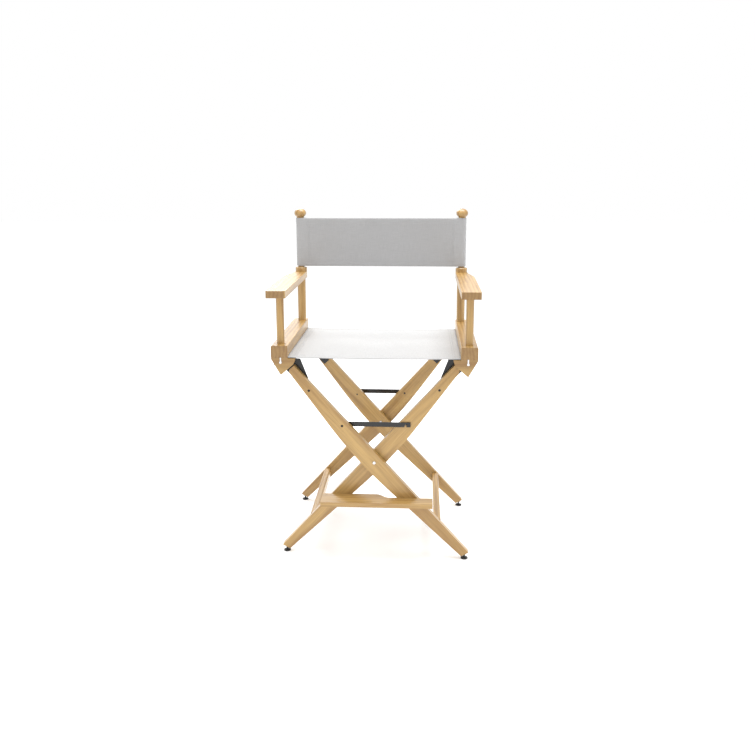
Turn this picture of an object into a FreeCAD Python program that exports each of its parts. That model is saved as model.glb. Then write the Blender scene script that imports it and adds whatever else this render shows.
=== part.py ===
"""Counter-height director chair: two X frames that fold, two arm frames, a canvas seat and a canvas back.

Millimetres, +Z up, the sitter faces -Y.
The origin is on the floor, under the middle of the overall width and depth.
Frame A runs from the top left to the bottom right.
It lies in front of frame B, both at the front and at the rear.
"""

import math
import os

import FreeCAD
import Part

os.makedirs("parts", exist_ok=True)

V = FreeCAD.Vector

# ---- overall sizes ----
rail_inner = 242.5          # centre plane to the inner face of a seat rail
rail_width = 47.5
rail_height = 36.0
rail_bottom = 596.0         # height of a seat rail's underside
rail_length = 408.0         # front to back
rail_round = 4.0            # outer long edges of a rail
rail_inner_round = 1.5      # its inner top edge
arm_top = 793.0
arm_thick = 20.0
back_low = 812.0            # lower edge of the back canvas
back_high = 964.5

# ---- legs ----
leg_thick = 18.0
leg_gap = 4.0               # between the two crossed legs of an X
leg_front_set = 2.0         # rail end to the outer face of the outer leg
pivot_z = 291.0             # centre bolt of each X
leg_top_x = 226.3           # upper edge of a leg at its top end
leg_top_z = 574.4
leg_foot_x = 274.0          # upper edge of a leg at its foot
leg_foot_z = 21.0
leg_top_wide = 22.5
leg_belly_run = 320.0       # the underside swells to a rounded belly, at this distance down the leg
leg_belly_wide = 56.4
leg_belly_r = 1350.0
leg_foot_wide = 24.0
leg_foot_bevel = 6.2        # the foot end is cut back by this on the underside
leg_top_r = 9.0
leg_corner_r = 1.5
hinge_x = 262.7             # hinge bolt between a leg and its rail
hinge_drop = 11.4           # hinge bolt below the rail

# ---- steel hardware ----
plate_thick = 3.0
strap_half = 10.0
strap_bolt_run = 81.5       # top end of the leg to the bolt that fixes the plate to it
strap_bolt_drop = 17.4
strap_end = 10.4            # plate past that bolt
wing_top_x = 210.0          # corners of the plate's wing
wing_top_drop = 5.5
wing_low_x = 189.0
wing_low_drop = 60.0
bolt_r = 3.0
bolt_head_r = 5.0
bolt_head_h = 2.6
head_dome = 0.7             # share of a bolt head's height that its dome takes
sunk_head_r = 3.6
sunk_head_h = 1.8
sunk_head_set = 0.3         # a sunk head lies this far under the wood's face
socket_deep = 0.6           # socket in a sunk head, as a share of its height
socket_wide = 0.45          # and of its radius
chrome_head_r = 4.2
nut_r = 5.2
nut_h = 3.0
centre_head_r = 4.8
washer_r = 9.0
running_clear = 0.06        # radial, a pin that turns in a hole
fixed_clear = 0.1           # radial, a bolt that does not turn
face_clear = 0.4            # between faces that slide past each other
clip_wide = 4.0             # bright clip from the hinge bolt up to the rail
clip_thick = 0.8

# ---- stays between the crossed legs ----
stay_high = 13.8
stay_thick = 2.4
stay_drop = 17.2            # its bolt, below the leg's upper edge
front_stay_z = 399.5
rear_stay_z = 385.0
stay_end = 12.0             # stay past its bolt or stud
stud_r = 2.6
stud_past = 1.0             # rear stud past the stay's outer face clearance
notch_clear = 0.4
notch_lean = 27.0           # slope of the notch that drops over the stud, degrees from vertical

# ---- corner blocks ----
block_out = 290.0
block_tip_x = 263.0
block_tip_drop = 48.8
block_nose_x = 227.0
block_nose_drop = 17.5
block_top_x = 222.0
block_lip = 4.0
block_round = 2.0
block_screw_x = 279.5
block_screw_r = 2.0
block_screw_sink = 22.0     # screw head above the foot of its pocket in the block
block_screw_grip = 18.0     # screw in the rail
block_screw_head_r = 4.0

# ---- arm frames ----
front_post_x = 267.0
front_post_y = -169.4
front_post_r = 11.0
rear_post_x = 258.2
rear_post_y = 177.9
rear_post_r = 13.0
back_post_r = 10.0          # the part of the rear post that carries the back canvas
post_tenon = 14.0
tenon_r = 7.5
tenon_skin = 6.0            # wood left over a front post's tenon in the armrest
arm_inner = 239.0
arm_outer = 293.0
arm_front = -242.0
arm_bend = 40.0             # the outer edge is straight as far back as this
arm_mid_x = 283.0           # and curves in through this point
arm_mid_y = 116.0
arm_mid_lean = 0.22         # slope of the edge there, across over along
arm_end_r = 18.4
arm_corner_r = 3.0
collar_r = 18.4
collar_high = 13.6
collar_bevel = 1.6
knob_r = 18.6
knob_high = 29.6
knob_neck_r = 11.5
knob_lift = 0.6             # knob above the back canvas

# ---- canvas ----
canvas_thick = 1.7
seat_edge_set = 1.5         # canvas edge in from the rail's ends
dowel_r = 4.0
dowel_clear = 0.1
groove_in = 15.0            # rail's inner face to the dowel
groove_lip = 2.4            # wood left under the groove's mouth
slot_clear = 0.9
groove_stop = 8.0           # the groove stops this far behind the rail's front end
pocket_gap = 1.0            # the sewn pocket and its dowel stop this short of the groove's end
fold_gap = 0.3              # between the two halves of a canvas, along their fold

# ---- footrest and lower stretchers ----
rest_left = -152.0
rest_right = 167.5
rest_top = 186.5
rest_thick = 13.3
rest_deep = 64.0            # in front of leg B
rest_step_start = 3.0
rest_step_end = 45.0
rest_gap = 0.5              # between the slat and the legs behind it
rest_edge_r = 1.5
rest_bolt_x = 103.0
rest_bolt_deep = 26.0
rest_bore_past = 1.0        # the bore runs this far past the bolt's tip
peg_x = -110.0              # the slat lies on this peg in leg B
peg_r = 3.0
peg_out = 12.0
stretcher_x = 182.0
stretcher_z = 101.5
stretcher_wide = 20.0
stretcher_high = 30.0
stretcher_round = 4.0

# ---- glides ----
glide_x = 261.8
glide_r = 10.2
glide_base = 2.2
glide_dome = 2.4
glide_neck_r = 2.6
glide_shoulder = 1.0        # the dome starts this far in from the rim and ends as far out from the neck
glide_ball_r = 5.0
glide_ball_z = 14.2
glide_clear = 0.4

# ---- how near an edge lies to the place where it is looked for ----
edge_find = 1.0
point_find = 0.01

# ---- worked out from the sizes above ----
rail_outer = rail_inner + rail_width
rail_top = rail_bottom + rail_height
rail_front = -rail_length / 2
rail_rear = rail_length / 2
hinge_z = rail_bottom - hinge_drop
arm_bottom = arm_top - arm_thick
leg_pitch = leg_thick + leg_gap
a_front = rail_front + leg_front_set
b_rear = rail_rear - leg_front_set
LEG_Y = {
    ("a", "front"): a_front,
    ("b", "front"): a_front + leg_pitch,
    ("a", "rear"): b_rear - leg_pitch - leg_thick,
    ("b", "rear"): b_rear - leg_thick,
}
leg_run = math.hypot(leg_top_x + leg_foot_x, leg_top_z - leg_foot_z)
along_x = (leg_foot_x + leg_top_x) / leg_run
along_z = (leg_foot_z - leg_top_z) / leg_run
under_x, under_z = along_z, -along_x
groove_x = rail_inner + groove_in
sleeve_r = dowel_r + dowel_clear + canvas_thick
canvas_low = rail_bottom + groove_lip + slot_clear
groove_z = canvas_low + sleeve_r
knob_low = back_high + knob_lift
knob_z = knob_low + knob_high / 2
rest_mid = rest_top - rest_thick / 2
stay_front_y = a_front + leg_thick + (leg_gap - stay_thick) / 2
stay_rear_y = b_rear + face_clear
rear_head_y = stay_rear_y + stay_thick + face_clear
front_most = a_front + leg_pitch - rest_deep
rear_most = rear_head_y + bolt_head_h
depth_shift = -(front_most + rear_most) / 2
ENDS = ("front", "rear")


# ---- helpers ----
def mirror(shape):
    return shape.mirror(V(0, 0, 0), V(1, 0, 0))


def plate_xz(points, y0, y1):
    """A prism with its outline in the XZ plane, from y0 to y1."""
    ring = [V(x, y0, z) for x, z in points]
    face = Part.Face(Part.makePolygon(ring + ring[:1]))
    return face.extrude(V(0, y1 - y0, 0))


def rod_y(x, z, r, y0, y1):
    return Part.makeCylinder(r, y1 - y0, V(x, y0, z), V(0, 1, 0))


def rod_z(x, y, r, z0, z1):
    return Part.makeCylinder(r, z1 - z0, V(x, y, z0))


def box(x0, x1, y0, y1, z0, z1):
    return Part.makeBox(x1 - x0, y1 - y0, z1 - z0, V(x0, y0, z0))


def edges_along(shape, axis, test):
    """Straight edges parallel to an axis whose middle passes the test."""
    found = []
    for edge in shape.Edges:
        if len(edge.Vertexes) != 2:
            continue
        span = edge.Vertexes[1].Point.sub(edge.Vertexes[0].Point)
        if span.Length < 1e-6 or abs(span.dot(axis)) < 0.999 * span.Length:
            continue
        if test(edge.CenterOfMass):
            found.append(edge)
    return found


def bolt_y(x, z, r, head_r, head_h, y_head, y_end, facing):
    """A bolt along Y: a domed head at y_head that stands out along facing, -1 to the front; a shank to y_end."""
    shank = rod_y(x, z, r, min(y_head, y_end), max(y_head, y_end))
    base = Part.makeCylinder(head_r, head_h, V(x, y_head, z), V(0, facing, 0))
    rim = [e for e in base.Edges if e.Curve.TypeId == "Part::GeomCircle"]
    outer = max(rim, key=lambda e: facing * e.CenterOfMass.y)
    return shank.fuse(base.makeFillet(head_h * head_dome, [outer])).removeSplitter()


def sunk_bolt(x, z, r, y_face, y_end, facing):
    """A bolt along Y whose flat socket head lies in a counterbore in the face at y_face."""
    top = y_face - facing * sunk_head_set
    under = top - facing * sunk_head_h
    ends = sorted((top, under))
    shank = rod_y(x, z, r, min(under, y_end), max(under, y_end))
    bolt = shank.fuse(rod_y(x, z, sunk_head_r, ends[0], ends[1])).removeSplitter()
    socket = sorted((top, top - facing * sunk_head_h * socket_deep))
    return bolt.cut(rod_y(x, z, sunk_head_r * socket_wide, socket[0], socket[1]))


def counterbore(x, z, y_face, facing):
    """The hole in the wood round a sunk head."""
    ends = sorted((y_face, y_face - facing * (sunk_head_set + sunk_head_h)))
    return rod_y(x, z, sunk_head_r + fixed_clear, ends[0], ends[1])


def leg_point(run, drop):
    """A point on leg A, by its distance down the upper edge from the top end and below that edge."""
    return (-leg_top_x + along_x * run + under_x * drop, leg_top_z + along_z * run + under_z * drop)


def leg_x_at(z, drop):
    """The X of the point on leg A at height z that lies this far below its upper edge."""
    run = (z - leg_top_z - under_z * drop) / along_z
    return leg_point(run, drop)[0]


strap_bolt = leg_point(strap_bolt_run, strap_bolt_drop)
front_stay_x = -leg_x_at(front_stay_z, stay_drop)
rear_stay_x = -leg_x_at(rear_stay_z, stay_drop)
peg_z = rest_top - rest_thick - face_clear - peg_r


# ---- legs ----
def near(points):
    """A test that passes an edge whose middle lies on one of these XZ points."""
    return lambda c: any(math.hypot(c.x - x, c.z - z) < point_find for x, z in points)


def leg_a(y0):
    y1 = y0 + leg_thick
    top_low = leg_point(0, leg_top_wide)
    belly = leg_point(leg_belly_run, leg_belly_wide)
    foot_up = leg_point(leg_run, 0)
    foot_low = leg_point(leg_run - leg_foot_bevel, leg_foot_wide)
    body = plate_xz([leg_point(0, 0), foot_up, foot_low, belly, top_low], y0, y1)
    body = body.makeFillet(leg_belly_r, edges_along(body, V(0, 1, 0), near([belly])))
    body = body.makeFillet(leg_top_r, edges_along(body, V(0, 1, 0), near([top_low])))
    small = [leg_point(0, 0), foot_up, foot_low]
    body = body.makeFillet(leg_corner_r, edges_along(body, V(0, 1, 0), near(small)))
    holes = [rod_y(0, pivot_z, bolt_r + running_clear, y0, y1)]
    holes.append(rod_y(strap_bolt[0], strap_bolt[1], bolt_r + fixed_clear, y0, y1))
    ball_y = (y0 + y1) / 2
    holes.append(Part.makeSphere(glide_ball_r + glide_clear, V(glide_x, ball_y, glide_ball_z)))
    for hole in holes:
        body = body.cut(hole)
    return body


def leg(frame, end):
    y0 = LEG_Y[(frame, end)]
    y1 = y0 + leg_thick
    face, way = inner_face(frame, end)
    shape = leg_a(y0)
    shape = shape.cut(counterbore(strap_bolt[0], strap_bolt[1], face - way * leg_thick, -way))
    if frame == "b":
        shape = mirror(shape)
    if (frame, end) == ("a", "front"):
        shape = shape.cut(rod_y(-front_stay_x, front_stay_z, bolt_r + fixed_clear, y0, y1))
        shape = shape.cut(counterbore(-front_stay_x, front_stay_z, y0, -1))
        shape = shape.cut(rod_y(rest_bolt_x, rest_mid, bolt_r + fixed_clear, y0, y1))
    if (frame, end) == ("b", "front"):
        shape = shape.cut(rod_y(front_stay_x, front_stay_z, stud_r + fixed_clear, y0, y1))
        shape = shape.cut(rod_y(peg_x, peg_z, peg_r + fixed_clear, y0, y1))
    if (frame, end) == ("a", "rear"):
        shape = shape.cut(rod_y(-rear_stay_x, rear_stay_z, stud_r + fixed_clear, y0, y1))
    if (frame, end) == ("b", "rear"):
        shape = shape.cut(rod_y(rear_stay_x, rear_stay_z, bolt_r + fixed_clear, y0, y1))
    return shape


def stretcher(frame):
    y0 = LEG_Y[(frame, "front")] + leg_thick
    y1 = LEG_Y[(frame, "rear")]
    x = stretcher_x
    bar = box(
        x - stretcher_wide / 2, x + stretcher_wide / 2, y0, y1,
        stretcher_z - stretcher_high / 2, stretcher_z + stretcher_high / 2,
    )
    bar = bar.makeFillet(stretcher_round, edges_along(bar, V(0, 1, 0), lambda c: True))
    if frame == "b":
        bar = mirror(bar)
    return bar


# ---- hinges between the legs and the rails ----
def inner_face(frame, end):
    """The face of a leg that looks to the middle of the chair: its Y, and the way it faces."""
    y0 = LEG_Y[(frame, end)]
    if end == "front":
        return y0 + leg_thick, 1
    return y0, -1


def hinge_plate(frame, end):
    """A steel strap from the hinge bolt down the leg, square at its end, with a wing on its upper side."""
    face, way = inner_face(frame, end)
    y0, y1 = sorted((face, face + way * plate_thick))
    hx, hz = -hinge_x, hinge_z
    sx, sz = strap_bolt
    span = math.hypot(sx - hx, sz - hz)
    dx, dz = (sx - hx) / span, (sz - hz) / span
    wide_x, wide_z = dz * strap_half, -dx * strap_half
    end_x, end_z = sx + dx * strap_end, sz + dz * strap_end
    strap = plate_xz(
        [(hx + wide_x, hz + wide_z), (end_x + wide_x, end_z + wide_z),
         (end_x - wide_x, end_z - wide_z), (hx - wide_x, hz - wide_z)],
        y0, y1,
    )
    wing = plate_xz(
        [(hx, hz), (hx, hz + strap_half), (-wing_top_x, rail_bottom - wing_top_drop),
         (-wing_low_x, rail_bottom - wing_low_drop), (sx, sz)],
        y0, y1,
    )
    shape = strap.fuse([wing, rod_y(hx, hz, strap_half, y0, y1)]).removeSplitter()
    shape = shape.cut(rod_y(hx, hz, bolt_r + running_clear, y0, y1))
    shape = shape.cut(rod_y(sx, sz, bolt_r + fixed_clear, y0, y1))
    if frame == "b":
        shape = mirror(shape)
    return shape


def plate_bolt(frame, end):
    """The dark bolt that fixes a hinge plate to its leg, sunk in the wood, its end flush with the plate."""
    face, way = inner_face(frame, end)
    outer = face - way * leg_thick
    bolt = sunk_bolt(strap_bolt[0], strap_bolt[1], bolt_r, outer, face + way * plate_thick, -way)
    if frame == "b":
        bolt = mirror(bolt)
    return bolt


def block_depth(frame, end):
    """The corner block runs from the rail's end to the inner face of its leg."""
    face, way = inner_face(frame, end)
    if end == "front":
        return rail_front, face - face_clear
    return face + face_clear, rail_rear


def corner_block(frame, end):
    y0, y1 = block_depth(frame, end)
    tip_z = rail_bottom - block_tip_drop
    outline = [
        (-block_out, rail_bottom),
        (-block_out, rail_bottom - block_lip / 2),
        (-block_tip_x, tip_z),
        (-block_nose_x, rail_bottom - block_nose_drop),
        (-block_top_x, rail_bottom - block_lip),
        (-block_top_x, rail_bottom),
    ]
    body = plate_xz(outline, y0, y1)
    body = body.makeFillet(block_round, edges_along(body, V(0, 1, 0), near([outline[2], outline[3]])))
    body = body.cut(rod_y(-hinge_x, hinge_z, bolt_r + fixed_clear, y0, y1))
    mid = (y0 + y1) / 2
    head_z = rail_bottom - block_screw_sink
    body = body.cut(rod_z(-block_screw_x, mid, block_screw_r + fixed_clear, head_z, rail_bottom))
    pocket = rod_z(-block_screw_x, mid, block_screw_head_r + fixed_clear, tip_z, head_z + block_screw_r)
    body = body.cut(pocket)
    if frame == "b":
        body = mirror(body)
    return body


def hinge_bolt(frame, end):
    """The bright bolt through a corner block, on which the hinge plate turns."""
    face, way = inner_face(frame, end)
    outer = rail_front if end == "front" else rail_rear
    nut_face = face + way * (plate_thick + face_clear)
    nut_end = nut_face + way * nut_h
    under_head = outer - way * clip_thick
    bolt = bolt_y(-hinge_x, hinge_z, bolt_r, chrome_head_r, bolt_head_h, under_head, nut_end, -way)
    ends = sorted((nut_face, nut_end))
    bolt = bolt.fuse(rod_y(-hinge_x, hinge_z, nut_r, ends[0], ends[1])).removeSplitter()
    if frame == "b":
        bolt = mirror(bolt)
    return bolt


def hinge_clip(frame, end):
    """A bright strip under the hinge bolt's head, up to the rail."""
    way = inner_face(frame, end)[1]
    outer = rail_front if end == "front" else rail_rear
    y0, y1 = sorted((outer, outer - way * clip_thick))
    half = clip_wide / 2
    strip = box(-hinge_x - half, -hinge_x + half, y0, y1, hinge_z, rail_bottom + half)
    strip = strip.fuse(rod_y(-hinge_x, hinge_z, chrome_head_r, y0, y1)).removeSplitter()
    strip = strip.cut(rod_y(-hinge_x, hinge_z, bolt_r + fixed_clear, y0, y1))
    if frame == "b":
        strip = mirror(strip)
    return strip


def block_screws(frame):
    """Screws up through both corner blocks of one side into the rail."""
    screws = []
    for end in ENDS:
        y0, y1 = block_depth(frame, end)
        mid = (y0 + y1) / 2
        head_z = rail_bottom - block_screw_sink
        screw = rod_z(-block_screw_x, mid, block_screw_r, head_z, rail_bottom + block_screw_grip)
        head = rod_z(-block_screw_x, mid, block_screw_head_r, head_z, head_z + block_screw_r)
        screw = screw.fuse(head).removeSplitter()
        if frame == "b":
            screw = mirror(screw)
        screws.append(screw)
    return Part.makeCompound(screws)


# ---- centre bolts ----
def centre_bolt(end):
    y_a = LEG_Y[("a", end)] - face_clear
    y_b = LEG_Y[("b", end)] + leg_thick + face_clear
    bolt = bolt_y(0, pivot_z, bolt_r, centre_head_r, bolt_head_h, y_a, y_b + nut_h, -1)
    return bolt.fuse(rod_y(0, pivot_z, nut_r, y_b, y_b + nut_h)).removeSplitter()


def centre_washer(end):
    y0 = LEG_Y[("a", end)] + leg_thick + face_clear
    y1 = LEG_Y[("b", end)] - face_clear
    ring = rod_y(0, pivot_z, washer_r, y0, y1)
    return ring.cut(rod_y(0, pivot_z, bolt_r + fixed_clear, y0, y1))


# ---- stays ----
def stay(x, z, y0):
    """A flat bar from a bolt at -x to past a stud at +x, with a leaning notch that drops over the stud."""
    half = stay_high / 2
    y1 = y0 + stay_thick
    bar = box(-x - stay_end + half, x + stay_end, y0, y1, z - half, z + half)
    bar = bar.fuse(rod_y(-x - stay_end + half, z, half, y0, y1)).removeSplitter()
    width = stud_r + notch_clear
    lean = math.radians(notch_lean)
    dx, dz = -math.sin(lean), -math.cos(lean)
    reach = stay_high
    notch = plate_xz(
        [(x - dz * width, z + dx * width), (x + dz * width, z - dx * width),
         (x + dz * width + dx * reach, z - dx * width + dz * reach),
         (x - dz * width + dx * reach, z + dx * width + dz * reach)],
        y0, y1,
    )
    bar = bar.cut(notch).cut(rod_y(x, z, width, y0, y1))
    return bar.cut(rod_y(-x, z, bolt_r + running_clear, y0, y1))


def front_stay_bolt():
    return sunk_bolt(-front_stay_x, front_stay_z, bolt_r, a_front, stay_front_y + stay_thick, -1)


def rear_stay_bolt():
    y_end = LEG_Y[("b", "rear")]
    return bolt_y(rear_stay_x, rear_stay_z, bolt_r, bolt_head_r, bolt_head_h, rear_head_y, y_end, 1)


def front_stay_stud():
    return rod_y(front_stay_x, front_stay_z, stud_r, stay_front_y, LEG_Y[("b", "front")] + leg_thick)


def rear_stay_stud():
    return rod_y(-rear_stay_x, rear_stay_z, stud_r, LEG_Y[("a", "rear")], rear_head_y + stud_past)


# ---- arm frames, left side ----
def rail(frame):
    """The left rail of the side whose legs hinge to this frame; the right one is its mirror."""
    body = box(-rail_outer, -rail_inner, rail_front, rail_rear, rail_bottom, rail_top)
    outer = edges_along(body, V(0, 1, 0), lambda c: c.x < -rail_outer + edge_find)
    body = body.makeFillet(rail_round, outer)
    near_inner = -rail_inner - edge_find
    near_top = rail_top - edge_find
    inner = edges_along(body, V(0, 1, 0), lambda c: c.x > near_inner and c.z > near_top)
    body = body.makeFillet(rail_inner_round, inner)
    groove_front = rail_front + groove_stop
    groove = rod_y(-groove_x, groove_z, sleeve_r + slot_clear, groove_front, rail_rear)
    slot = box(
        -groove_x, -rail_inner, groove_front, rail_rear,
        canvas_low - slot_clear, canvas_low + canvas_thick + slot_clear,
    )
    body = body.cut(groove.fuse(slot))
    front_socket = rod_z(-front_post_x, front_post_y, tenon_r, rail_top - post_tenon, rail_top)
    rear_socket = rod_z(-rear_post_x, rear_post_y, tenon_r, rail_top - post_tenon, rail_top)
    body = body.cut(front_socket).cut(rear_socket)
    for end in ENDS:
        y0, y1 = block_depth(frame, end)
        hole_top = rail_bottom + block_screw_grip
        mid = (y0 + y1) / 2
        body = body.cut(rod_z(-block_screw_x, mid, block_screw_r + fixed_clear, rail_bottom, hole_top))
    return body


def front_post():
    post = rod_z(-front_post_x, front_post_y, front_post_r, rail_top, arm_bottom)
    low = rod_z(-front_post_x, front_post_y, tenon_r, rail_top - post_tenon, rail_top)
    high = rod_z(-front_post_x, front_post_y, tenon_r, arm_bottom, arm_top - tenon_skin)
    return post.fuse([low, high]).removeSplitter()


def rear_post():
    x, y = -rear_post_x, rear_post_y
    parts = [
        rod_z(x, y, rear_post_r, rail_top, arm_bottom),
        rod_z(x, y, tenon_r, rail_top - post_tenon, rail_top),
        rod_z(x, y, back_post_r, arm_bottom, back_high + post_tenon),
    ]
    return parts[0].fuse(parts[1:]).removeSplitter()


def armrest():
    """A flat arm, straight inside, with its outer edge curved in to a round end about the rear post."""
    end_x, end_y = -rear_post_x, rear_post_y
    front_in = V(-arm_inner, arm_front, arm_bottom)
    front_out = V(-arm_outer, arm_front, arm_bottom)
    bend = V(-arm_outer, arm_bend, arm_bottom)
    rear_out = V(end_x - arm_end_r, end_y, arm_bottom)
    back = V(end_x, end_y + arm_end_r, arm_bottom)
    rear_in = V(end_x + arm_end_r, end_y, arm_bottom)
    side = Part.BSplineCurve()
    side.interpolate(
        [bend, V(-arm_mid_x, arm_mid_y, arm_bottom), rear_out],
        Tangents=[V(0, 1, 0), V(arm_mid_lean, 1, 0), V(0, 1, 0)],
        TangentFlags=[True, True, True],
    )
    edges = [
        Part.makeLine(front_in, front_out),
        Part.makeLine(front_out, bend),
        side.toShape(),
        Part.Arc(rear_out, back, rear_in).toShape(),
        Part.makeLine(rear_in, front_in),
    ]
    body = Part.Face(Part.Wire(edges)).extrude(V(0, 0, arm_thick))
    upright = edges_along(body, V(0, 0, 1), lambda c: c.y < arm_front + edge_find)
    body = body.makeFillet(arm_corner_r, upright)
    body = body.cut(rod_z(-front_post_x, front_post_y, tenon_r, arm_bottom, arm_top - tenon_skin))
    return body.cut(rod_z(end_x, end_y, back_post_r, arm_bottom, arm_top))


def collar():
    ring = rod_z(-rear_post_x, rear_post_y, collar_r, arm_top, arm_top + collar_high)
    rims = [e for e in ring.Edges if e.Curve.TypeId == "Part::GeomCircle"]
    top = max(rims, key=lambda e: e.CenterOfMass.z)
    ring = ring.makeChamfer(collar_bevel, [top])
    return ring.cut(rod_z(-rear_post_x, rear_post_y, back_post_r, arm_top, arm_top + collar_high))


def knob():
    """A flattened ball with a short neck on the rear post, bored for the post's end."""
    ball = Part.makeSphere(knob_r)
    flatten = FreeCAD.Matrix()
    flatten.scale(1, 1, knob_high / (2 * knob_r))
    ball = ball.transformGeometry(flatten)
    ball.translate(V(-rear_post_x, rear_post_y, knob_z))
    neck = rod_z(-rear_post_x, rear_post_y, knob_neck_r, knob_low, knob_z)
    body = ball.fuse(neck).removeSplitter()
    return body.cut(rod_z(-rear_post_x, rear_post_y, back_post_r, knob_low, back_high + post_tenon))


# ---- canvas, left half ----
def seat_dowel():
    y0 = rail_front + groove_stop + pocket_gap
    return rod_y(-groove_x, groove_z, dowel_r, y0, rail_rear - seat_edge_set)


def seat_hem():
    """The sewn pocket round the dowel and the cloth through the rail's slot."""
    y0 = rail_front + groove_stop + pocket_gap
    y1 = rail_rear - seat_edge_set
    ring = rod_y(-groove_x, groove_z, sleeve_r, y0, y1)
    tail = box(-groove_x, -rail_inner, y0, y1, canvas_low, canvas_low + canvas_thick)
    body = ring.fuse(tail).removeSplitter()
    return body.cut(rod_y(-groove_x, groove_z, dowel_r + dowel_clear, y0, y1))


def seat_half():
    y0 = rail_front + seat_edge_set
    y1 = rail_rear - seat_edge_set
    return box(-rail_inner + fold_gap, -fold_gap, y0, y1, canvas_low, canvas_low + canvas_thick)


def back_sleeve():
    """The sewn sleeve round the rear post."""
    inside = back_post_r + dowel_clear
    ring = rod_z(-rear_post_x, rear_post_y, inside + canvas_thick, back_low, back_high)
    return ring.cut(rod_z(-rear_post_x, rear_post_y, inside, back_low, back_high))


def back_half():
    """The back canvas from the sleeve to the centre, against the front of the sleeve."""
    y1 = rear_post_y - back_post_r - dowel_clear - canvas_thick - fold_gap
    return box(-rear_post_x + fold_gap, -fold_gap, y1 - canvas_thick, y1, back_low, back_high)


# ---- footrest ----
def footrest():
    """A slat in front of both legs, deeper on the left, with a smooth step from leg B's face to leg A's."""
    b_face = LEG_Y[("b", "front")] - rest_gap
    a_face = LEG_Y[("a", "front")] - rest_gap
    front = front_most
    low = rest_top - rest_thick
    front_left = V(rest_left, front, low)
    front_right = V(rest_right, front, low)
    back_right = V(rest_right, a_face, low)
    back_left = V(rest_left, b_face, low)
    corner_a = V(rest_step_start, b_face, low)
    corner_b = V(rest_step_end, a_face, low)
    step = Part.BSplineCurve()
    step.interpolate([corner_a, corner_b], Tangents=[V(1, 0, 0), V(1, 0, 0)], TangentFlags=[True, True])
    edges = [
        Part.makeLine(front_left, front_right),
        Part.makeLine(front_right, back_right),
        Part.makeLine(back_right, corner_b),
        step.toShape(),
        Part.makeLine(corner_a, back_left),
        Part.makeLine(back_left, front_left),
    ]
    body = Part.Face(Part.Wire(Part.__sortEdges__(edges))).extrude(V(0, 0, rest_thick))
    upright = edges_along(body, V(0, 0, 1), lambda c: c.y < front + edge_find)
    body = body.makeFillet(rest_edge_r, upright)
    bore_end = a_face - rest_bolt_deep - rest_bore_past
    return body.cut(rod_y(rest_bolt_x, rest_mid, bolt_r + running_clear, bore_end, a_face))


def footrest_bolt():
    """The bolt from behind leg A into the slat, on which the slat turns."""
    y_back = LEG_Y[("a", "front")] + leg_thick
    tip = LEG_Y[("a", "front")] - rest_gap - rest_bolt_deep
    return bolt_y(rest_bolt_x, rest_mid, bolt_r, bolt_head_r, bolt_head_h, y_back, tip, 1)


def footrest_peg():
    """The peg in leg B that the slat lies on."""
    y0 = LEG_Y[("b", "front")]
    return rod_y(peg_x, peg_z, peg_r, y0 - peg_out, y0 + leg_thick)


# ---- glides ----
def glide(frame, end):
    """A black disc that swivels on a ball in the foot."""
    x = glide_x if frame == "a" else -glide_x
    y = LEG_Y[(frame, end)] + leg_thick / 2
    disc = rod_z(x, y, glide_r, 0, glide_base)
    dome_low = glide_r - glide_shoulder
    dome_high = glide_neck_r + glide_shoulder
    dome = Part.makeCone(dome_low, dome_high, glide_dome, V(x, y, glide_base))
    neck = rod_z(x, y, glide_neck_r, glide_base, glide_ball_z)
    ball = Part.makeSphere(glide_ball_r, V(x, y, glide_ball_z))
    return disc.fuse([dome, neck, ball]).removeSplitter()


# ---- write every node ----
def save(name, shape):
    """Every shape is centred front to back on its way out."""
    shape.translate(V(0, depth_shift, 0))
    shape.exportStep(os.path.join("parts", name + ".step"))


for side, frame in (("left", "a"), ("right", "b")):
    shapes = {
        side + "_rail": rail(frame),
        side + "_front_post": front_post(),
        side + "_rear_post": rear_post(),
        side + "_armrest": armrest(),
        side + "_collar": collar(),
        side + "_knob": knob(),
        side + "_seat_dowel": seat_dowel(),
        side + "_seat_hem": seat_hem(),
        side + "_back_sleeve": back_sleeve(),
        "seat_canvas_" + side: seat_half(),
        "back_canvas_" + side: back_half(),
    }
    for name, shape in shapes.items():
        if side == "right":
            shape = mirror(shape)
        save(name, shape)
    save(side + "_block_screws", block_screws(frame))
    save(side + "_hinge_bolts", Part.makeCompound([hinge_bolt(frame, end) for end in ENDS]))
    save(side + "_hinge_clips", Part.makeCompound([hinge_clip(frame, end) for end in ENDS]))
    save("plate_bolts_" + frame, Part.makeCompound([plate_bolt(frame, end) for end in ENDS]))
    save("stretcher_" + frame, stretcher(frame))
    for end in ENDS:
        tag = frame + "_" + end
        save("leg_" + tag, leg(frame, end))
        save("corner_block_" + tag, corner_block(frame, end))
        save("hinge_plate_" + tag, hinge_plate(frame, end))
        save("glide_" + tag, glide(frame, end))

save("centre_bolts", Part.makeCompound([centre_bolt(end) for end in ENDS]))
save("centre_washers", Part.makeCompound([centre_washer(end) for end in ENDS]))
save("front_stay", stay(front_stay_x, front_stay_z, stay_front_y))
save("rear_stay", mirror(stay(rear_stay_x, rear_stay_z, stay_rear_y)))
save("front_stay_bolt", front_stay_bolt())
save("front_stay_stud", front_stay_stud())
save("rear_stay_bolt", rear_stay_bolt())
save("rear_stay_stud", rear_stay_stud())
save("footrest", footrest())
save("footrest_bolt", footrest_bolt())
save("footrest_peg", footrest_peg())
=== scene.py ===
"""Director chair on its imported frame: lacquered wood, sewn canvas, black and bright steel."""

import math

import bpy
from mathutils import Matrix, Vector


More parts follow.
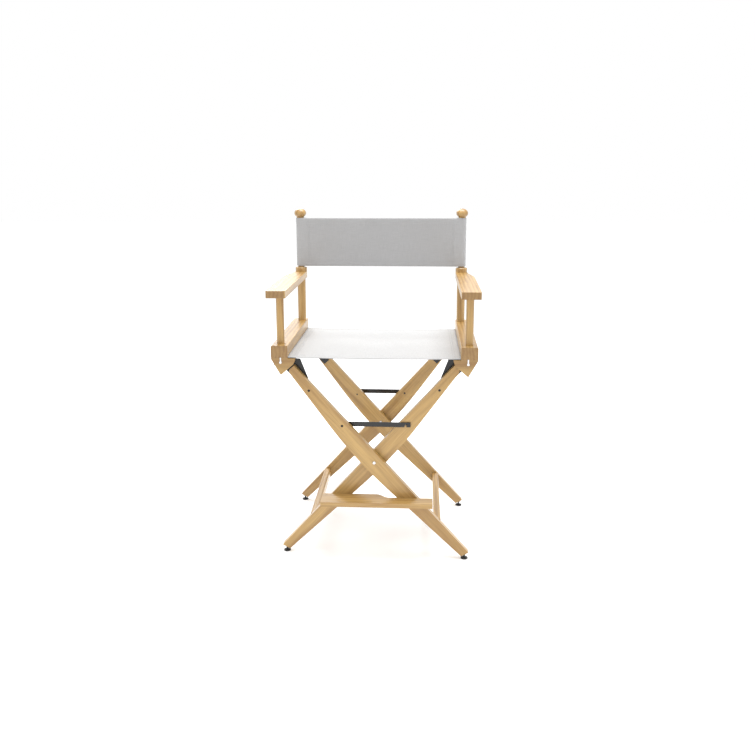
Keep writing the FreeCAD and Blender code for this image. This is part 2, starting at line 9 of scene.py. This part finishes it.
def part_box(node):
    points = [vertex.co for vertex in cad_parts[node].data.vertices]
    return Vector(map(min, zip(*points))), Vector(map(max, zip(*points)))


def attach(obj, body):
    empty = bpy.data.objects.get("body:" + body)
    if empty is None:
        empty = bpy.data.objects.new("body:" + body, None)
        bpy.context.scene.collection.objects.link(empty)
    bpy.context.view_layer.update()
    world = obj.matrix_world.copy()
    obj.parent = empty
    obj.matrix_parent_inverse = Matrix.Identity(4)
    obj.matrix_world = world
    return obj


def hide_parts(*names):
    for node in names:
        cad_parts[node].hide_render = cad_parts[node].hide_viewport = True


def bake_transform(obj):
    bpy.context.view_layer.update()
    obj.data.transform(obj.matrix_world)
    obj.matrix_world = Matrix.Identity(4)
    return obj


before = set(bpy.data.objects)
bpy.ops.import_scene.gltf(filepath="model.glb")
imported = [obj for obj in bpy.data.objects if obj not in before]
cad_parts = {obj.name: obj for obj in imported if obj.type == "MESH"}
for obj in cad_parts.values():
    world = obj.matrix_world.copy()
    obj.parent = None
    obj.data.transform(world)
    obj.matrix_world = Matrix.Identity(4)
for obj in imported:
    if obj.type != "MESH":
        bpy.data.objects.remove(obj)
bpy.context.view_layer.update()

MM = 0.001

# ---- sizes that the soft goods need, in millimetres ----
CLOTH = 1.5                 # canvas thickness
LAYER = 1.6                 # from one layer of a hem to the next
HEM = 20.0                  # a hem's width
HEM_TURN = 1.5              # the fold at a hem's edge takes this much of the sheet
HEM_STITCH = 3.0            # a hem's stitches from its inner edge
ROW_STEP = 6.0              # between the rows of a sheet's mesh
ROW_PIECES = 48             # straight pieces in a row of stitches that follows a curve
ROW_END = 3.0               # a row of stitches stops this far from the cloth's edge
STITCH_PITCH = 3.4
STITCH_LONG = 2.5
STITCH_R = 0.42
STITCH_SIDES = 6
STITCH_BELLY = 0.28         # a stitch keeps its full thickness this share of its length each way
SEAM_REACH = 34.0           # post's axis to the seam that closes the back's sleeve
SEAM_RISE = 3.4             # the closing layer behind the panel at that seam
SEAM_STEPS = 5
SLEEVE_STEPS = 26
PANEL_STEPS = 44            # mesh columns from a post to the middle of the back
SEAM_ROWS = (26.0, 31.0)    # rows of stitches, from a post's axis
SEAT_STEPS = 96
SEAT_SAG = 2.5
RAIL_ROWS = (16.0, 22.0)    # rows of stitches, from a rail
POCKET_TURN = 1.9 * math.pi     # how far the seat's pocket goes round its dowel
POCKET_STEPS = 24
POCKET_ROWS = 40
THREADS = 1050.0            # threads in a metre of canvas
LEG_FALL = 0.5534           # metres that a leg's upper edge falls
LEG_REACH = 0.5003          # and reaches to the side
STAGE_HALF = 14.0           # metres

# ---- colours, linear ----
WOOD_DARK = (0.27, 0.135, 0.032)
WOOD_LIGHT = (0.53, 0.335, 0.11)
WOOD_END = (0.21, 0.11, 0.035)
SEAT_GREY = (0.43, 0.43, 0.43)
BACK_GREY = (0.40, 0.40, 0.405)
THREAD = (0.46, 0.46, 0.46)


# ---- node helpers ----
class Nodes:
    """A material's node tree, with short ways to add and join nodes."""

    def __init__(self, name):
        self.material = bpy.data.materials.new(name)
        self.material.use_nodes = True
        self.tree = self.material.node_tree
        self.shader = self.tree.nodes["Principled BSDF"]

    def add(self, kind, **values):
        """A node whose sockets or settings take these values; a socket given as a value is joined to it."""
        node = self.tree.nodes.new("ShaderNode" + kind)
        for key, value in values.items():
            if key in node.inputs:
                self.put(node.inputs[key], value)
            else:
                setattr(node, key, value)
        return node

    def put(self, socket, value):
        if isinstance(value, bpy.types.NodeSocket):
            self.tree.links.new(value, socket)
        else:
            socket.default_value = value

    def surface(self, **values):
        for key, value in values.items():
            self.put(self.shader.inputs[key.replace("_", " ")], value)

    def calc(self, operation, *values):
        node = self.add("Math", operation=operation)
        for socket, value in zip(node.inputs, values):
            self.put(socket, value)
        return node.outputs[0]

    def noise(self, vector, scale, detail, rough=0.5, distortion=0.0):
        node = self.add(
            "TexNoise", Vector=vector, Scale=scale, Detail=detail, Roughness=rough, Distortion=distortion
        )
        return node.outputs["Fac"]

    def ramp(self, factor, *stops):
        node = self.add("ValToRGB", Fac=factor)
        bands = node.color_ramp.elements
        while len(bands) < len(stops):
            bands.new(0.5)
        for band, (place, colour) in zip(bands, stops):
            band.position = place
            band.color = (*colour, 1.0)
        return node.outputs["Color"]

    def mix(self, factor, first, second, blend="MIX"):
        node = self.add("Mix", data_type="RGBA", blend_type=blend)
        self.put(node.inputs[0], factor)
        self.put(node.inputs[6], first)
        self.put(node.inputs[7], second)
        return node.outputs[2]

    def bump(self, height, strength, distance):
        node = self.add("Bump", Height=height, Strength=strength, Distance=distance)
        self.put(self.shader.inputs["Normal"], node.outputs["Normal"])


def grey(value):
    return (value, value, value)


# ---- hard materials ----
def wood(name, axis, offset, shade=1.0):
    """Lacquered wood whose grain runs along axis: wide growth bands, fine pores, darker end grain."""
    n = Nodes(name)
    place = n.add("TexCoord")
    turn = Vector(axis).rotation_difference(Vector((1, 0, 0))).to_euler()
    start = (offset, 0.3 * offset, 0.7 * offset)
    along = n.add("Mapping", Vector=place.outputs["Object"], Rotation=turn, Location=start)
    wide = n.add("Mapping", Vector=along.outputs[0], Scale=(1.3, 17.0, 17.0))
    fine = n.add("Mapping", Vector=along.outputs[0], Scale=(9.0, 420.0, 420.0))
    figure = n.noise(wide.outputs[0], 1.6, 5.0, 0.55, 0.9)
    bands = n.add(
        "TexWave", Vector=wide.outputs[0], Scale=1.7, Distortion=7.0, Detail=4.0, bands_direction="Y"
    )
    bands.inputs["Detail Scale"].default_value = 1.2
    pores = n.noise(fine.outputs[0], 1.0, 3.0, 0.6)
    body = n.calc("ADD", n.calc("MULTIPLY", figure, 0.72), n.calc("MULTIPLY", bands.outputs["Fac"], 0.28))
    dark = tuple(shade * c for c in WOOD_DARK)
    light = tuple(shade * c for c in WOOD_LIGHT)
    middle = tuple((a + b) / 2 for a, b in zip(dark, light))
    colour = n.ramp(body, (0.22, dark), (0.46, middle), (0.78, light))
    colour = n.mix(0.55, colour, n.ramp(pores, (0.30, grey(0.62)), (0.56, grey(1.0))), "MULTIPLY")
    facing = n.add("VectorMath", operation="DOT_PRODUCT")
    n.put(facing.inputs[0], place.outputs["Normal"])
    n.put(facing.inputs[1], Vector(axis).normalized())
    end = n.calc("ABSOLUTE", facing.outputs["Value"])
    end = n.add("MapRange", Value=end, **{"From Min": 0.75, "From Max": 0.95}).outputs[0]
    colour = n.mix(n.calc("MULTIPLY", end, 0.6), colour, (*WOOD_END, 1.0))
    rough = n.add("MapRange", Value=pores, **{"To Min": 0.36, "To Max": 0.52}).outputs[0]
    n.surface(Base_Color=colour, Roughness=rough, Coat_Weight=0.55, Coat_Roughness=0.22)
    n.bump(n.calc("ADD", n.calc("MULTIPLY", pores, 0.7), n.calc("MULTIPLY", figure, 0.3)), 0.35, 0.0006)
    return n.material


def metal(name, colour, metallic, roughness, brushed):
    """Steel with a slightly uneven finish: brushed is how strongly fine scratches show."""
    n = Nodes(name)
    place = n.add("TexCoord").outputs["Object"]
    stretched = n.add("Mapping", Vector=place, Scale=(60.0, 60.0, 900.0)).outputs[0]
    scratch = n.noise(stretched, 1.0, 4.0, 0.6)
    cloud = n.noise(place, 34.0, 3.0)
    worn = n.ramp(cloud, (0.35, tuple(0.82 * c for c in colour)), (0.70, colour))
    rough = n.add("MapRange", Value=n.calc("ADD", n.calc("MULTIPLY", scratch, brushed), cloud))
    rough.inputs["To Min"].default_value = roughness * 0.75
    rough.inputs["To Max"].default_value = roughness * 1.3
    n.surface(Base_Color=worn, Metallic=metallic, Roughness=rough.outputs[0])
    n.bump(n.calc("ADD", scratch, n.calc("MULTIPLY", cloud, 0.5)), 0.08 + 0.12 * brushed, 0.0003)
    return n.material


def plastic(name):
    n = Nodes(name)
    place = n.add("TexCoord").outputs["Object"]
    grain = n.noise(place, 900.0, 2.0)
    scuff = n.noise(place, 45.0, 4.0)
    colour = n.ramp(scuff, (0.40, grey(0.016)), (0.75, grey(0.032)))
    rough = n.add("MapRange", Value=scuff, **{"To Min": 0.42, "To Max": 0.62}).outputs[0]
    n.surface(Base_Color=colour, Roughness=rough)
    n.bump(grain, 0.25, 0.0002)
    return n.material


# ---- cloth materials ----
def canvas(name, colour):
    """Plain-woven cotton duck. The weave follows the sheet's own flat map, which is in metres."""
    n = Nodes(name)
    flat = n.add("UVMap", uv_map="flat").outputs[0]
    counted = n.add("Mapping", Vector=flat, Scale=(THREADS, THREADS, 1.0)).outputs[0]
    split = n.add("SeparateXYZ", Vector=counted)
    warp = n.calc("ABSOLUTE", n.calc("SINE", n.calc("MULTIPLY", split.outputs[0], math.pi)))
    weft = n.calc("ABSOLUTE", n.calc("SINE", n.calc("MULTIPLY", split.outputs[1], math.pi)))
    cell = n.add("TexChecker", Vector=flat, Scale=THREADS).outputs["Fac"]
    over = n.calc("MULTIPLY", warp, n.calc("ADD", 0.55, n.calc("MULTIPLY", cell, 0.45)))
    under = n.calc("MULTIPLY", weft, n.calc("SUBTRACT", 1.0, n.calc("MULTIPLY", cell, 0.45)))
    weave = n.calc("MAXIMUM", over, under)
    slub = n.noise(n.add("Mapping", Vector=flat, Scale=(30.0, 900.0, 1.0)).outputs[0], 1.0, 3.0, 0.6)
    cross = n.noise(n.add("Mapping", Vector=flat, Scale=(900.0, 30.0, 1.0)).outputs[0], 1.0, 3.0, 0.6)
    cloud = n.noise(flat, 9.0, 4.0)
    yarn = n.calc("MULTIPLY", n.calc("ADD", slub, cross), 0.5)
    dark = tuple(0.86 * c for c in colour)
    light = tuple(1.08 * c for c in colour)
    tone = n.ramp(yarn, (0.32, dark), (0.66, light))
    tone = n.mix(0.5, tone, n.ramp(cloud, (0.3, grey(0.93)), (0.7, grey(1.0))), "MULTIPLY")
    tone = n.mix(0.6, tone, n.ramp(weave, (0.25, grey(0.78)), (0.9, grey(1.0))), "MULTIPLY")
    n.surface(Base_Color=tone, Roughness=0.92, Sheen_Weight=0.25, Sheen_Roughness=0.6)
    n.bump(n.calc("ADD", weave, n.calc("MULTIPLY", yarn, 1.2)), 0.55, 0.0004)
    return n.material


def thread():
    n = Nodes("sewing_thread")
    place = n.add("TexCoord").outputs["Object"]
    twist = n.add("TexWave", Vector=place, Scale=900.0, Distortion=1.0).outputs["Fac"]
    n.surface(Base_Color=n.ramp(twist, (0.2, tuple(0.8 * c for c in THREAD)), (0.8, THREAD)), Roughness=0.8)
    n.bump(twist, 0.3, 0.0002)
    return n.material


# ---- carried-over CAD nodes ----
def paint(node, material):
    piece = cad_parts[node]
    if not piece.material_slots:
        piece.data.materials.append(material)
    for place in piece.material_slots:
        place.link = "OBJECT"
        place.material = material


leg_lean = math.atan2(LEG_FALL, LEG_REACH)
LEG_A = (math.cos(leg_lean), 0.0, -math.sin(leg_lean))
LEG_B = (math.cos(leg_lean), 0.0, math.sin(leg_lean))
ALONG_X, ALONG_Y, ALONG_Z = (1, 0, 0), (0, 1, 0), (0, 0, 1)
WOODS = {
    "leg_a": wood("wood_leg_a", LEG_A, 0.0),
    "leg_b": wood("wood_leg_b", LEG_B, 0.37),
    "rail": wood("wood_rail", ALONG_Y, 0.71),
    "armrest": wood("wood_armrest", ALONG_Y, 1.13),
    "post": wood("wood_post", ALONG_Z, 1.57),
    "collar": wood("wood_collar", ALONG_Z, 1.91),
    "knob": wood("wood_knob", ALONG_Z, 2.33, 0.95),
    "corner_block": wood("wood_block", ALONG_X, 2.71, 0.92),
    "footrest": wood("wood_footrest", ALONG_X, 3.17),
    "stretcher": wood("wood_stretcher", ALONG_Y, 3.61, 1.1),
    "seat_dowel": wood("wood_dowel", ALONG_Y, 4.03),
}
BLACK_STEEL = metal("black_lacquered_steel", grey(0.013), 0.0, 0.2, 0.2)
BRIGHT_STEEL = metal("bright_steel", (0.78, 0.78, 0.79), 1.0, 0.16, 0.6)
DARK_STEEL = metal("dark_steel", grey(0.045), 0.85, 0.36, 0.5)
BLACK_PLASTIC = plastic("black_plastic")
FINISHES = (
    (("hinge_plate", "front_stay", "rear_stay"), BLACK_STEEL),
    (("stay_bolt", "stay_stud", "plate_bolts", "block_screws", "footrest_bolt", "footrest_peg"), DARK_STEEL),
    (("hinge_bolts", "hinge_clips", "centre_bolts", "centre_washers"), BRIGHT_STEEL),
    (("glide",), BLACK_PLASTIC),
)
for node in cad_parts:
    for word, material in WOODS.items():
        if word in node:
            paint(node, material)
    for words, material in FINISHES:
        if any(word in node for word in words):
            paint(node, material)


# ---- sewn canvas ----
def mesh_object(name, points, faces, material, flat=None):
    data = bpy.data.meshes.new(name)
    data.from_pydata([p * MM for p in points], [], faces)
    data.materials.append(material)
    if flat:
        layer = data.uv_layers.new(name="flat")
        for loop in data.loops:
            layer.data[loop.index].uv = flat[loop.vertex_index]
    for face in data.polygons:
        face.use_smooth = True
    made = bpy.data.objects.new(name, data)
    bpy.context.scene.collection.objects.link(made)
    return made


def thicken(piece):
    """The cloth's thickness, half on each side, kept in the mesh."""
    shell = piece.modifiers.new("thickness", "SOLIDIFY")
    shell.thickness = CLOTH * MM
    shell.offset = 0.0
    bpy.context.view_layer.update()
    whole = bpy.data.meshes.new_from_object(piece.evaluated_get(bpy.context.evaluated_depsgraph_get()))
    piece.modifiers.clear()
    piece.data = whole


def hem_profile(start, end):
    """Places across a sheet from one folded hem to the other: (distance across, layers behind the face)."""
    turn = [(0.25, 0.85), (0.0, 0.5), (0.25, 0.15)]
    first = [(start + HEM, 1.0), (start + HEM / 2, 1.0), (start + HEM_TURN, 1.0)]
    first += [(start + HEM_TURN * a, b) for a, b in turn]
    open_wide = end - start - 2 * HEM_TURN
    count = int(open_wide / ROW_STEP)
    middle = [(start + HEM_TURN + open_wide * i / count, 0.0) for i in range(count + 1)]
    last = [(end - (a - start), b) for a, b in reversed(first)]
    return first + middle + last


def sewn_sheet(name, path, normals, axis, profile, wave, material):
    """A sheet along path, with hems folded back along the two edges that follow it."""
    points, flat = [], []
    run = 0.0
    for i, (place, normal) in enumerate(zip(path, normals)):
        if i:
            run += (place - path[i - 1]).length
        across = 0.0
        for j, (distance, depth) in enumerate(profile):
            if j:
                last_distance, last_depth = profile[j - 1]
                across += math.hypot(distance - last_distance, LAYER * (depth - last_depth))
            points.append(place + normal * (LAYER * depth + wave(place, distance)) + axis * distance)
            flat.append((run * MM, across * MM))
    rows = len(profile)
    faces = [
        (i * rows + j, (i + 1) * rows + j, (i + 1) * rows + j + 1, i * rows + j + 1)
        for i in range(len(path) - 1)
        for j in range(rows - 1)
    ]
    piece = mesh_object(name, points, faces, material, flat)
    thicken(piece)
    return piece, (run * MM, flat[rows - 1][1])


def stitch_row(start, end, up):
    """The points and faces of one row of stitches, each a small spindle standing out of the cloth."""
    direction = end - start
    count = int(direction.length / STITCH_PITCH)
    direction.normalize()
    side = direction.cross(up).normalized()
    points, faces = [], []
    for i in range(count):
        middle = start + direction * (STITCH_PITCH * (i + 0.5))
        base = len(points)
        points.append(middle - direction * STITCH_LONG / 2)
        for reach in (-STITCH_BELLY, STITCH_BELLY):
            for corner in range(STITCH_SIDES):
                angle = 2 * math.pi * corner / STITCH_SIDES
                spread = side * math.cos(angle) + up * math.sin(angle)
                points.append(middle + direction * STITCH_LONG * reach + spread * STITCH_R)
        points.append(middle + direction * STITCH_LONG / 2)
        ring = base + 1
        next_ring = ring + STITCH_SIDES
        tip = next_ring + STITCH_SIDES
        for corner in range(STITCH_SIDES):
            after = (corner + 1) % STITCH_SIDES
            faces.append((base, ring + after, ring + corner))
            faces.append((ring + corner, ring + after, next_ring + after, next_ring + corner))
            faces.append((tip, next_ring + corner, next_ring + after))
    return points, faces


def stitching(name, rows):
    points, faces = [], []
    for row in rows:
        base = len(points)
        more, corners = stitch_row(*row)
        points += more
        faces += [tuple(base + c for c in face) for face in corners]
    return mesh_object(name, points, faces, THREAD_MATERIAL)


SEAT_CANVAS = canvas("seat_canvas", SEAT_GREY)
BACK_CANVAS = canvas("back_canvas", BACK_GREY)
THREAD_MATERIAL = thread()


def in_mm(node):
    low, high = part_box(node)
    return low / MM, high / MM


# the seat: one sheet across both folding halves
seat_low, seat_high = in_mm("seat_canvas_left")
half_seat = -seat_low.x
seat_mid = (seat_low.z + seat_high.z) / 2


def seat_wave(place, distance):
    """A slight sag between the rails, with faint pulls towards them."""
    across = place.x / half_seat
    sag = SEAT_SAG * (1 - across * across)
    pull = 0.35 * math.sin(0.11 * distance) * across * across * (1 - abs(across))
    return sag + pull


seat_path = [
    Vector((-half_seat + 2 * half_seat * i / SEAT_STEPS, 0, seat_mid)) for i in range(SEAT_STEPS + 1)
]
seat, seat_flat = sewn_sheet(
    "seat_sheet", seat_path, [Vector((0, 0, -1))] * len(seat_path), Vector((0, 1, 0)),
    hem_profile(seat_low.y, seat_high.y), seat_wave, SEAT_CANVAS,
)
UP = Vector((0, 0, 1))
seat_rows = []
seat_face = seat_mid + CLOTH / 2 + 0.1
for y in (seat_low.y + HEM - HEM_STITCH, seat_high.y - HEM + HEM_STITCH):
    for i in range(ROW_PIECES):
        x0, x1 = (-half_seat + 2 * half_seat * (i + k) / ROW_PIECES for k in (0, 1))
        z0, z1 = (seat_face - seat_wave(Vector((x, 0, 0)), y) for x in (x0, x1))
        seat_rows.append((Vector((x0, y, z0)), Vector((x1, y, z1)), UP))
for side in (-1, 1):
    for inset in RAIL_ROWS:
        x = side * (half_seat - inset)
        z = seat_face - seat_wave(Vector((x, 0, 0)), 0)
        row_front = Vector((x, seat_low.y + ROW_END, z))
        row_rear = Vector((x, seat_high.y - ROW_END, z))
        seat_rows.append((row_front, row_rear, UP))
seat_stitches = stitching("seat_stitches", seat_rows)

# the back: one sheet with a sleeve sewn round each rear post
back_low, back_high = in_mm("back_canvas_left")
sleeve_low, sleeve_high = in_mm("left_back_sleeve")
post = (sleeve_low + sleeve_high) / 2
panel_y = (back_low.y + back_high.y) / 2
wrap_r = post.y - panel_y
seam = Vector((SEAM_REACH, SEAM_RISE - wrap_r, 0))
touch = math.atan2(seam.y, seam.x) + math.acos(wrap_r / seam.length)
left_half, left_normals = [], []
closing = Vector((math.cos(touch), math.sin(touch), 0))
for i in range(SEAM_STEPS):
    left_half.append(Vector((post.x, post.y, 0)) + seam.lerp(closing * wrap_r, i / SEAM_STEPS))
    left_normals.append(-closing)
for i in range(SLEEVE_STEPS + 1):
    angle = touch + (1.5 * math.pi - touch) * i / SLEEVE_STEPS
    out = Vector((math.cos(angle), math.sin(angle), 0))
    left_half.append(Vector((post.x, post.y, 0)) + out * wrap_r)
    left_normals.append(-out)
for i in range(1, PANEL_STEPS + 1):
    left_half.append(Vector((post.x * (1 - i / PANEL_STEPS), panel_y, 0)))
    left_normals.append(Vector((0, 1, 0)))


def mirrored(vectors):
    return [Vector((-v.x, v.y, v.z)) for v in reversed(vectors)]


def back_wave(place, distance):
    """Slight fullness of the panel between the posts."""
    across = min(1.0, abs(place.x / post.x))
    tall = (distance - back_low.z) / (back_high.z - back_low.z)
    swell = 1.6 * (1 - across * across) * (0.6 + 0.4 * math.sin(math.pi * min(1.0, max(0.0, tall))))
    pull = 0.5 * math.sin(9 * tall) * across * across * (1 - across)
    return swell + pull


back_path = left_half + mirrored(left_half[:-1])
back, back_flat = sewn_sheet(
    "back_sheet", back_path, left_normals + mirrored(left_normals[:-1]), UP,
    hem_profile(back_low.z, back_high.z), back_wave, BACK_CANVAS,
)
back_rows = []
FRONT = Vector((0, -1, 0))
face_y = panel_y - CLOTH / 2 - 0.1
for z in (back_low.z + HEM - HEM_STITCH, back_high.z - HEM + HEM_STITCH):
    for i in range(ROW_PIECES):
        x0, x1 = (post.x - 2 * post.x * (i + k) / ROW_PIECES for k in (0, 1))
        y0, y1 = (face_y + back_wave(Vector((x, 0, 0)), z) for x in (x0, x1))
        back_rows.append((Vector((x0, y0, z)), Vector((x1, y1, z)), FRONT))
for side in (-1, 1):
    for inset in SEAM_ROWS:
        x = side * (-post.x - inset)
        y = face_y + back_wave(Vector((x, 0, 0)), back_low.z)
        row_low = Vector((x, y, back_low.z + ROW_END))
        row_high = Vector((x, y, back_high.z - ROW_END))
        back_rows.append((row_low, row_high, FRONT))
back_stitches = stitching("back_stitches", back_rows)


# the pockets that hold the seat's dowels in the rails
def seat_pocket(side):
    """The seat's pocket round its dowel, and the cloth that leaves it through the rail's slot."""
    hem_low, hem_high = in_mm(side + "_seat_hem")
    dowel_low, dowel_high = in_mm(side + "_seat_dowel")
    axis = (dowel_low + dowel_high) / 2
    r = axis.z - hem_low.z - CLOTH / 2
    inward = 1 if side == "left" else -1
    mouth = hem_high.x if side == "left" else hem_low.x
    path, normals = [], []
    for i in range(POCKET_STEPS + 1):
        angle = 1.5 * math.pi - POCKET_TURN * i / POCKET_STEPS
        out = Vector((inward * -math.cos(angle), 0, math.sin(angle)))
        path.insert(0, Vector((axis.x, 0, axis.z)) + out * r)
        normals.insert(0, -out)
    path.append(Vector((mouth, 0, axis.z - r)))
    normals.append(UP)
    long = hem_high.y - hem_low.y
    profile = [(hem_low.y + long * i / POCKET_ROWS, 0.0) for i in range(POCKET_ROWS + 1)]
    return sewn_sheet(
        side + "_seat_pocket", path, normals, Vector((0, 1, 0)), profile, lambda place, distance: 0.0,
        SEAT_CANVAS,
    )


pockets = {side: seat_pocket(side) for side in ("left", "right")}

# ---- how the cloth rides ----
for piece, name, slot in ((seat, "seat", "seat_cloth"), (seat_stitches, "seat", "seat_cloth"),
                          (back, "back", "back_cloth"), (back_stitches, "back", "back_cloth")):
    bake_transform(piece)
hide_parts("seat_canvas_left", "seat_canvas_right")
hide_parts("back_canvas_left", "back_canvas_right", "left_back_sleeve", "right_back_sleeve")
for side, (pocket, pocket_flat) in pockets.items():
    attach(pocket, side + "_arm")
    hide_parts(side + "_seat_hem")


# ---- stage, light and camera ----
def stage_floor():
    n = Nodes("stage")
    n.surface(Base_Color=(0.93, 0.93, 0.93, 1.0), Roughness=0.9)
    n.shader.inputs["Emission Color"].default_value = (1.0, 1.0, 1.0, 1.0)
    n.shader.inputs["Emission Strength"].default_value = 0.12
    h = STAGE_HALF / MM
    corners = [Vector((x, y, 0)) for x, y in ((-h, -h), (h, -h), (h, h), (-h, h))]
    floor = mesh_object("floor", corners, [(0, 1, 2, 3)], n.material)


def area_light(name, place, aim, size, watts):
    data = bpy.data.lights.new(name, "AREA")
    data.shape = "DISK"
    data.size = size
    data.energy = watts
    lamp = bpy.data.objects.new(name, data)
    lamp.location = place
    lamp.rotation_mode = "QUATERNION"
    lamp.rotation_quaternion = (Vector(aim) - Vector(place)).to_track_quat("-Z", "Y")
    bpy.context.scene.collection.objects.link(lamp)


stage_floor()
world = bpy.data.worlds.new("studio")
world.use_nodes = True
world.node_tree.nodes["Background"].inputs["Color"].default_value = (1.0, 1.0, 1.0, 1.0)
world.node_tree.nodes["Background"].inputs["Strength"].default_value = 1.0
bpy.context.scene.world = world
bpy.context.scene.view_settings.view_transform = "Standard"
area_light("overhead", (0.2, 0.1, 3.0), (0, 0, 0.6), 2.2, 85)
area_light("rear_top", (-0.8, 2.2, 2.4), (0, 0, 0.7), 1.8, 45)

camera_data = bpy.data.cameras.new("camera")
camera_data.sensor_width = 36.0
camera_data.lens = 37.0
camera_data.shift_y = -0.09
camera = bpy.data.objects.new("camera", camera_data)
yaw, pitch, roll = -0.0569, -0.1803, -0.0021
heading = Matrix.Rotation(-yaw, 4, "Z")
tilt = Matrix.Rotation(math.pi / 2 + pitch, 4, "X")
camera.matrix_world = (
    Matrix.Translation((0.1303, -2.2864, 1.1210)) @ heading @ tilt @ Matrix.Rotation(roll, 4, "Z")
)
bpy.context.scene.collection.objects.link(camera)
bpy.context.scene.camera = camera

bpy.context.view_layer.update()
